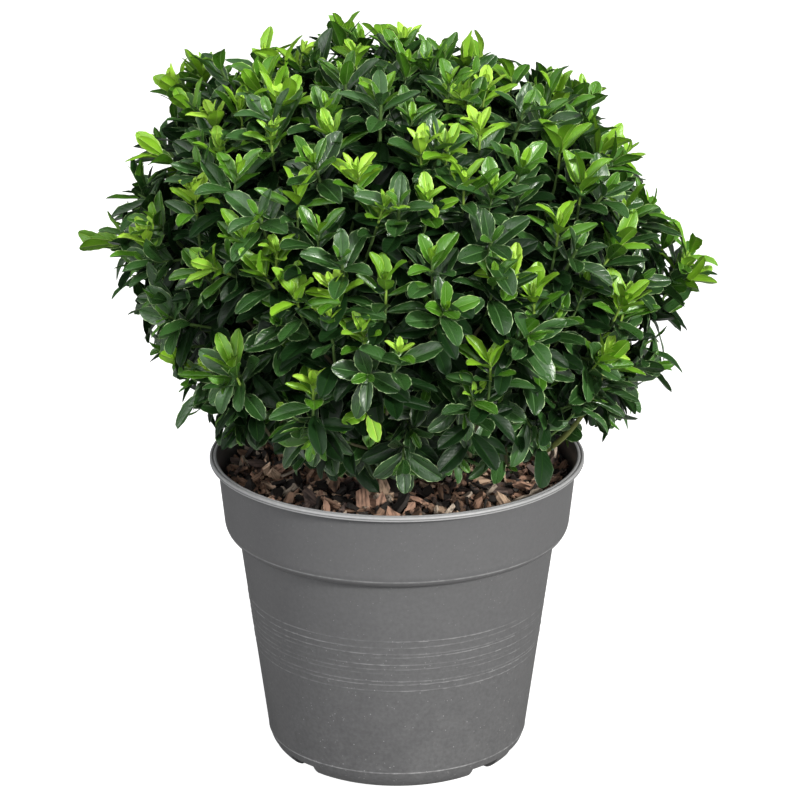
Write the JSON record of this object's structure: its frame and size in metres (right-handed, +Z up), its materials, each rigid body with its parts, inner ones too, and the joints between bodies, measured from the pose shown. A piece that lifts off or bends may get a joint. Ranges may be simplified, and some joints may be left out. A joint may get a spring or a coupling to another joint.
{
  "type": "potted japanese spindle",
  "caption": "Evergreen Japanese spindle shrub grown as a dense leafy ball, standing in a round nursery pot with a stepped collar.",
  "frame": {"origin": "middle of the pot's flat underside", "axes": "+Z up along the pot's axis; the pictured front faces -Y"},
  "size_m": [0.4268, 0.4245, 0.5261],
  "materials": {
    "pot_plastic": "matt grey moulded plastic, a little dusty",
    "potting_soil": "dark, crumbly",
    "bark_chips": "rough red-brown bark",
    "stem_bark": "thin grey-brown bark",
    "foliage": "glossy evergreen leaves"
  },
  "bodies": {
    "root": {"pot": "pot_plastic", "potting_soil": "potting_soil", "bark_layer": "bark_chips", "trunk": "stem_bark", "bough_top": "stem_bark", "bough_side_1": "stem_bark", "bough_side_2": "stem_bark", "bough_side_3": "stem_bark", "bough_side_4": "stem_bark", "bough_side_5": "stem_bark", "bough_side_6": "stem_bark", "foliage_top": "foliage", "foliage_side_1": "foliage", "foliage_side_2": "foliage", "foliage_side_3": "foliage", "foliage_side_4": "foliage", "foliage_side_5": "foliage", "foliage_side_6": "foliage"}
  },
  "joints": []
}
